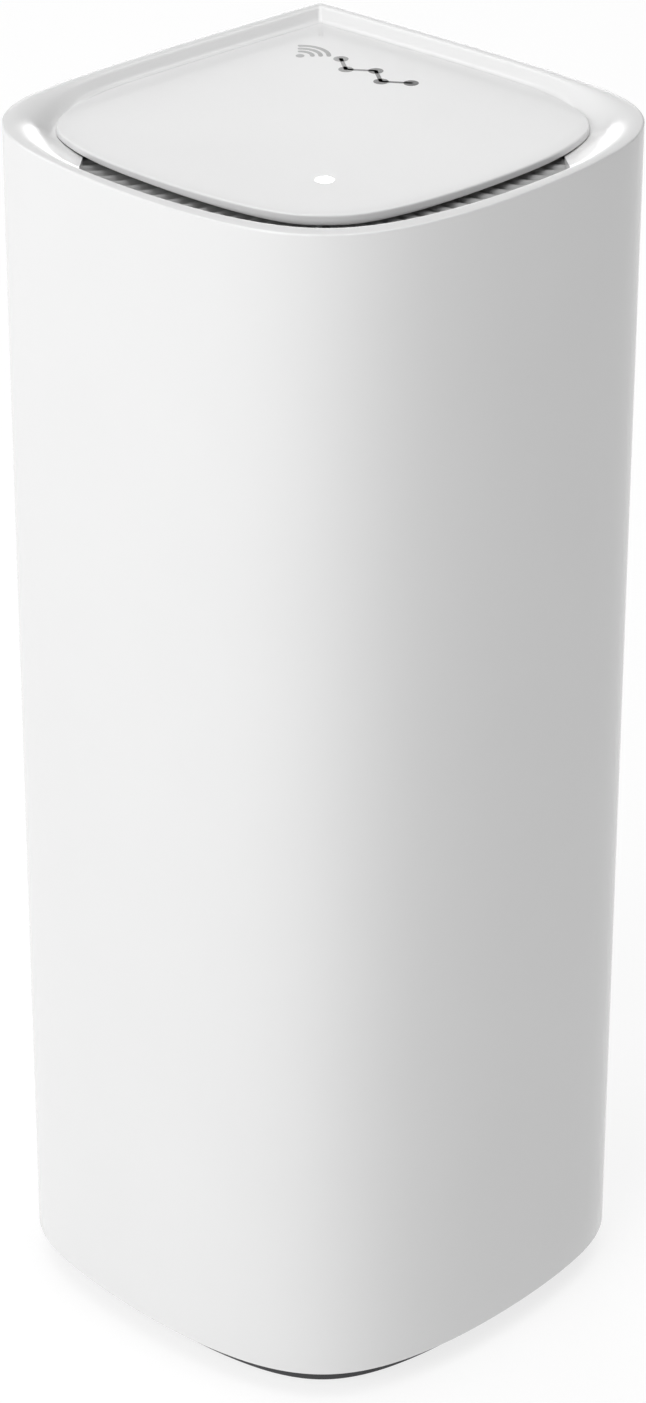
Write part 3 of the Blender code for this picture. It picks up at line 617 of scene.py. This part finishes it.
def make_lid():
    """Lid whose section is a slab between two quarter rounds.

    The upper round grows from nothing, where the lid lies flush in the bowl, to its full size where
    it floats free. The lower round grows from the sides to the front corner, as the lid thickens.
    """
    def top_round(shares):
        return 0.02 + 0.33 * looseness(shares)

    def lower_round(shares):
        return 0.2 + 1.0 * smooth_step((shares - 0.72) / 0.22)

    rings = []
    for t in np.linspace(0, math.pi / 2, 7):
        rings.append(ring(lambda s: lid_edge(s) + lower_round(s) * (1 - math.sin(t)),
                          lambda s: LID_TOP - lid_thickness(s) + lower_round(s) * (1 - math.cos(t)), 0.5))
    for t in np.linspace(0, math.pi / 2, 7):
        rings.append(ring(lambda s: lid_edge(s) + top_round(s) * (1 - math.cos(t)),
                          lambda s: LID_TOP - top_round(s) * (1 - math.sin(t)), 0.5))
    for extra in (2.5, 5.0):
        rings.append(ring(lambda s: lid_edge(s) + extra, LID_TOP, 0.5))
    lid = solid("lid", rings)
    hole = turned("light_hole", (LIGHT[0], LIGHT[1], 0), (0, 0, 1),
                  ((LIGHT_RADIUS + LIGHT_GAP, 210.0), (LIGHT_RADIUS + LIGHT_GAP, 225.0)), 96)
    carve(lid, hole)
    return dress(lid, LID_WHITE, stands_for=("top_lid",))


make_lid()

light = turned("status_light", (LIGHT[0], LIGHT[1], 0), (0, 0, 1),
               ((0, PIPE_LOW[2]), (LIGHT_RADIUS, PIPE_LOW[2]), (LIGHT_RADIUS, LID_TOP - 0.12),
                (LIGHT_RADIUS - 0.1, LID_TOP - 0.02), (0, LID_TOP)), 96)
dress(light, GLOW, stands_for=("led_light_pipe",))


# ------------------------------------------------------------------ vent grille

def make_grille():
    """Concave strip whose surface rises and falls with the run, so that ribs stand across it.

    Across the strip the surface falls by a parabola from the rim to under the lid. Along the run a
    rounded square wave sinks the grooves; its pitch is measured along the lid's edge.
    """
    points, inward, shares, run = path(VENT_FROM, 900)
    at_lid = points + inward * lid_edge(shares)[:, None]
    along = np.concatenate(([0.0], np.cumsum(np.linalg.norm(np.diff(at_lid, axis=0), axis=1))))
    along -= np.interp(0.0, run, along)
    across = np.concatenate((np.linspace(0, 1, 26), (1.14, 1.28, 1.42)))
    start = rim_edge(shares)[:, None] + 0.4
    finish = lid_edge(shares)[:, None] + 3.0
    inset = start + (finish - start) * across[None, :]
    fall = 3.4 + 0.55 * smooth_step((shares[:, None] - 0.7) / 0.3)
    height = 221.1 - fall * (1 - (1 - across[None, :]) ** 2)
    wave = np.cos(2 * math.pi * along / RIB_PITCH)
    groove = 1 / (1 + np.exp(-wave * 2.6))
    depth = RIB_DEPTH * groove[:, None] * smooth_step(across * 14 + 0.25)[None, :]
    top = np.empty((len(run), len(across), 3))
    top[..., :2] = points[:, None, :] + inward[:, None, :] * inset[..., None]
    top[..., 2] = height - depth
    under = top[:, ::-1, :].copy()
    under[..., 2] = height[:, ::-1] - GRILLE_THICK
    grille = solid("grille", np.concatenate((top, under), axis=1))
    vent_ends(grille, VENT_HALF + 0.8)
    return dress(grille, GRILLE, stands_for=("vent_grille",))


make_grille()


# ------------------------------------------------------------------ generic mark on the lid

def stroke(name, line, width, low, high, axes):
    """Flat stroke: a rectangle width wide carried along a line, with half-round ends.

    The line is given on two axes; axes is (origin, right, up, out), which places it in the tower.
    """
    line = np.array(line, float)
    step = np.gradient(line, axis=0)
    step /= np.linalg.norm(step, axis=1)[:, None]
    side = np.column_stack((-step[:, 1], step[:, 0])) * width / 2
    swing = np.linspace(0, math.pi, 9)[1:-1]

    def end(centre, first, ahead):
        return [centre + first * math.cos(t) + ahead * math.sin(t) for t in swing]

    loop = np.array(list(line + side) + end(line[-1], side[-1], step[-1] * width / 2)
                    + list((line - side)[::-1]) + end(line[0], -side[0], -step[0] * width / 2))
    origin, right, up, out = (np.array(v, float) for v in axes)
    flat = origin + loop[:, :1] * right + loop[:, 1:] * up
    return solid(name, [flat + out * low, flat + out * high])


def dot(name, centre, radius, low, high, axes):
    """Flat round dot: a circle of points, carried from low to high."""
    angle = np.linspace(0, 2 * math.pi, 33)[:-1]
    origin, right, up, out = (np.array(v, float) for v in axes)
    loop = np.array(centre) + np.column_stack((np.cos(angle), np.sin(angle))) * radius
    flat = origin + loop[:, :1] * right + loop[:, 1:] * up
    return solid(name, [flat + out * low, flat + out * high])


def bend(centre, radius, first, last, count=25):
    """Points on an arc, angles in degrees."""
    angle = np.radians(np.linspace(first, last, count))
    return np.array(centre) + np.column_stack((np.cos(angle), np.sin(angle))) * radius


def make_mark():
    """Waves over a dot, then a chain of linked dots: a mark that says wireless mesh and nothing more."""
    axes = ((*MARK_ORIGIN, LID_TOP), (1, 0, 0), (0, 1, 0), (0, 0, 1))
    low, high = -0.05, 0.03
    parts = [dot("wave_dot", (3.2, 0.6), 0.75, low, high, axes)]
    for radius in (2.1, 3.5, 4.9):
        parts.append(stroke("wave", bend((3.2, 0.6), radius, 45, 135), 0.8, low, high, axes))
    stops = [(9.2 + 4.1 * k, 1.4 if k % 2 else 4.4) for k in range(5)]
    for here, there in zip(stops, stops[1:]):
        parts.append(stroke("link", (here, there), 0.7, low, high, axes))
    parts += [dot("knot", stop, 1.3, low, high, axes) for stop in stops]
    return dress(merge("lid_mark", *parts), PRINT)


make_mark()


# ------------------------------------------------------------------ foot and underside

def make_base():
    """Foot and plug of the tower: rings at insets of the outline, stepping out where they enter the shell.

    Its underside has a groove for the rubber ring, seats for four screws, a hole for the reset
    button, a recess for the label, and a row of air slots in each rear side.
    """
    rings = []
    for t in np.linspace(0, math.pi / 2, 5):
        rings.append(ring(FOOT_INSET + 0.3 * (1 - math.sin(t)), FOOT_START + 0.3 * (1 - math.cos(t))))
    rings += [ring(FOOT_INSET, 5.6), ring(WALL + 0.3, 6.6), ring(WALL + 0.3, BASE_TOP), ring(4.5, BASE_TOP),
              ring(4.5, 8.0), ring(7.2, 4.0)]
    base = solid("base", rings)
    section = ((6.2, 0.0), (6.2, 2.2), (14.8, 2.2), (14.8, 0.0))
    groove = solid("groove", [ring(inset, height) for inset, height in section], wrap_rows=True)
    tools = [groove]
    for k in range(1, 5):
        low, high = corners(f"base_screw_{k}")
        middle = (low + high) / 2
        tools.append(turned("seat", (middle[0], middle[1], 0), (0, 0, 1),
                            ((0, 0), (3.1, 0), (3.1, 2.6), (1.7, 2.6), (1.7, 6.0), (0, 6.0)), 48))
    low, high = corners("reset_button")
    middle = (low + high) / 2
    tools.append(turned("reset_hole", (middle[0], middle[1], 0), (0, 0, 1),
                        ((0, 0), (3.0, 0), (3.0, 1.2), (2.6, 1.6), (2.6, 6.0), (0, 6.0)), 64))
    label_low, label_high = corners("rating_label")
    tools.append(block("label_recess", (label_low[0] - 0.4, label_low[1] - 0.4, 0),
                       (label_high[0] + 0.4, label_high[1] + 0.4, 1.8)))
    for k in range(11):
        tools.append(block("slot", (-50, -14 + 4 * k, 2.4), (-35, -12 + 4 * k, 4.6), 0.6, 2))
        tools.append(block("slot", (-30 + 4 * k, 35, 2.4), (-28 + 4 * k, 50, 4.6), 0.6, 2))
    carve(base, *tools)
    return dress(base, CHARCOAL, stands_for=("base_housing",))


make_base()

def make_foot_ring():
    """Rubber ring: a flat band between two insets of the outline, its lower edges cut back."""
    outer, inner = FOOT_RING
    section = ((outer + 0.3, 0.0), (outer, 0.3), (outer, RING_TOP),
               (inner, RING_TOP), (inner, 0.3), (inner - 0.3, 0.0))
    foot = solid("foot", [ring(inset, height) for inset, height in section], wrap_rows=True)
    dress(foot, RUBBER, stands_for=("foot_ring",))


make_foot_ring()


# ------------------------------------------------------------------ rear panel

def centre_of(node):
    low, high = corners(node)
    return (low + high) / 2


SOCKETS = {node: centre_of(node) for node in ("wan_socket", "lan_socket_1", "lan_socket_2", "lan_socket_3")}
ROCKER = centre_of("power_switch")
PAIR = centre_of("pair_button")
JACK = centre_of("dc_jack")


def make_panel():
    """Recessed rear panel: a tray with a rounded lip, its windows cut with small corners."""
    low, high = PANEL_LOW, PANEL_HIGH
    panel = block("panel", low, high, 0.35, 3)
    tools = [rounded_mouth("tray", (low[0] + 1.6, low[2] + 1.6), (high[0] - 1.6, high[2] - 1.6), 2.6,
                           PANEL_FACE, 45.0)]
    for centre in SOCKETS.values():
        tools.append(rounded_mouth("window", (centre[0] - 6.6, centre[2] - 5.4),
                                   (centre[0] + 6.6, centre[2] + 5.4), 0.8, 30.0, 40.0))
    tools.append(rounded_mouth("window", (PAIR[0] - 4.1, ROCKER[2] - 5.9), (PAIR[0] + 4.1, ROCKER[2] + 5.9),
                               0.7, 30.0, 40.0))
    for centre, radius in ((JACK, 3.6), (PAIR, 3.9)):
        tools.append(turned("hole", (centre[0], 0, centre[2]), (0, 1, 0),
                            ((0, 30.0), (radius, 30.0), (radius, PANEL_FACE - 0.4),
                             (radius + 0.4, PANEL_FACE), (radius + 0.4, 40.0), (0, 40.0))))
    carve(panel, *tools)
    return dress(panel, CHARCOAL, stands_for=("io_panel",))


def make_liners():
    """Plastic frame round each socket's mouth: blue for the line's socket, black for the rest."""
    for node, centre in SOCKETS.items():
        x, z = centre[0], centre[2]
        mouth = corners(node)[1][1]
        frame_piece = rounded_mouth("liner", (x - 6.4, z - 5.2), (x + 6.4, z + 5.2), 0.6, mouth, mouth + 1.5)
        cuts = [block("bay", (x - 5.9, 20, z - 4.2), (x + 5.9, 45, z + 3.0)),
                block("latch", (x - 3.1, 20, z + 2.0), (x + 3.1, 45, z + 4.4)),
                block("notch", (x - 1.7, 20, z + 3.4), (x + 1.7, 45, z + 4.9))]
        carve(frame_piece, *cuts)
        frame_piece.name = node.replace("socket", "liner")
        dress(frame_piece, BLUE if node == "wan_socket" else BLACK)


def make_icons():
    """Small raised signs beside the controls and sockets."""
    def axes(x, z):
        return ((x, PANEL_FACE, z), (-1, 0, 0), (0, 0, 1), (0, 1, 0))

    low, high = -0.1, 0.08
    spot = axes(PAIR[0] - 6.9, PAIR[2])
    parts = [dot("sign", (0, -0.9), 0.32, low, high, spot)]
    parts += [stroke("sign", bend((0, -0.9), r, 45, 135), 0.36, low, high, spot) for r in (1.0, 1.8)]
    spot = axes(PAIR[0] - 6.9, ROCKER[2])
    parts += [stroke("sign", bend((0, 0), 1.1, 125, 415), 0.36, low, high, spot),
              stroke("sign", ((0, 0.3), (0, 1.5)), 0.36, low, high, spot)]
    spot = axes(PAIR[0] - 6.9, JACK[2])
    parts += [stroke("sign", ((-1.3, 0.4), (1.3, 0.4)), 0.34, low, high, spot)]
    parts += [stroke("sign", ((x, -0.4), (x + 0.4, -0.4)), 0.34, low, high, spot) for x in (-1.3, -0.2, 0.9)]
    for node, centre in SOCKETS.items():
        spot = axes(centre[0], centre[2] + 7.2)
        if node == "wan_socket":
            parts += [stroke("sign", bend((0, 0), 0.95, 0, 330), 0.3, low, high, spot),
                      stroke("sign", ((-0.9, 0), (0.9, 0)), 0.3, low, high, spot)]
        else:
            parts += [dot("sign", (1.1 * k, 0), 0.34, low, high, spot) for k in range(int(node[-1]))]
    return dress(merge("panel_signs", *parts), PRINT)


make_panel()
make_liners()
make_icons()


# ------------------------------------------------------------------ CAD nodes that stay

CARRIED = {
    "led_board": BOARD, "main_board": BOARD, "led_chip": GLOW, "led_lead": BLACK, "top_carrier": CHARCOAL,
    "inner_chassis": NATURAL, "front_shield": STEEL, "rear_shield": STEEL, "processor_chip": BLACK,
    "radio_chip": BLACK, "front_thermal_pad": PAD, "rear_thermal_pad": PAD, "front_heatsink": ALUMINIUM,
    "rear_heatsink": ALUMINIUM, "dc_jack": BLACK, "dc_jack_pin": STEEL,
    "power_switch": BLACK, "power_rocker": GLOSS_BLACK, "pair_button": WHITE, "pair_switch": BLACK,
    "reset_button": RED, "reset_switch": BLACK, "rating_label": LABEL, "wan_socket": STEEL,
    "wan_contacts": GOLD,
}
for k in range(1, 5):
    CARRIED.update({f"antenna_{k}": GOLD, f"coax_{k}": BLACK})
    CARRIED.update({f"base_screw_{k}": STEEL, f"board_screw_{k}": STEEL})
for k in range(1, 4):
    CARRIED.update({f"lan_socket_{k}": STEEL, f"lan_contacts_{k}": GOLD})
for node, finish in CARRIED.items():
    NODES[node].data.materials.clear()
    NODES[node].data.materials.append(finish)


# ------------------------------------------------------------------ floor, light and camera

def paper_finish():
    """Pale paper that glows a little, so that the floor stays white in soft light."""
    finish = Finish("paper_floor", (0.25, 0.25, 0.25), 0.9)
    finish.shader.inputs["Emission Color"].default_value = (1, 1, 1, 1)
    finish.shader.inputs["Emission Strength"].default_value = 0.77
    return finish.material


bpy.ops.mesh.primitive_plane_add(size=12)
floor = bpy.context.object
floor.name = "floor"
floor.data.materials.append(paper_finish())


def soft_light(name, spot, aim, size, power):
    """Rectangular light at spot, turned to face aim."""
    lamp = bpy.data.lights.new(name, "AREA")
    lamp.shape = "RECTANGLE"
    lamp.size, lamp.size_y = size
    lamp.energy = power
    made = bpy.data.objects.new(name, lamp)
    bpy.context.scene.collection.objects.link(made)
    made.location = spot
    made.rotation_euler = (Vector(aim) - Vector(spot)).to_track_quat("-Z", "Y").to_euler()


VIEW = math.radians(44.39)          # azimuth of the camera
TO_CAMERA = Vector((math.sin(VIEW), -math.cos(VIEW), 0))
TO_RIGHT = Vector((math.cos(VIEW), math.sin(VIEW), 0))
UP = Vector((0, 0, 1))


def from_view(right, toward, up):
    """Place given from the camera's side: to its right, toward it, and up."""
    return TO_RIGHT * right + TO_CAMERA * toward + UP * up


MIDDLE = (0, 0, 0.11)
soft_light("side", from_view(-1.3, -0.3, 0.6), MIDDLE, (0.8, 0.8), 3.6)
soft_light("key", from_view(-0.62, 1.05, 0.95), MIDDLE, (0.8, 0.8), 7.7)
soft_light("low_key", from_view(-0.9, 1.0, 0.5), MIDDLE, (0.8, 0.8), 3.8)
soft_light("top", from_view(0, -0.1, 1.7), MIDDLE, (1.8, 1.8), 23.5)
soft_light("back", from_view(0, -1.6, 0.46), (0, 0, 0.22), (0.5, 0.34), 2.3)

world = bpy.data.worlds.new("studio")
world.use_nodes = True
world.node_tree.nodes["Background"].inputs["Color"].default_value = (1, 1, 1, 1)
world.node_tree.nodes["Background"].inputs["Strength"].default_value = 0.01
bpy.context.scene.world = world
bpy.context.scene.view_settings.view_transform = "Standard"

PITCH = math.radians(28.758)
DISTANCE = 0.78373
camera_data = bpy.data.cameras.new("camera")
camera_data.lens = 115.03
camera_data.sensor_width = 36
camera_data.shift_x = 0.0007
camera_data.shift_y = 0.0165
camera = bpy.data.objects.new("camera", camera_data)
bpy.context.scene.collection.objects.link(camera)
camera.location = (TO_CAMERA * math.cos(PITCH) + UP * math.sin(PITCH)) * DISTANCE + Vector(MIDDLE)
camera.rotation_euler = Euler((math.pi / 2 - PITCH, 0, VIEW))
camera.rotation_euler.rotate_axis("Z", math.radians(0.13))
bpy.context.scene.camera = camera
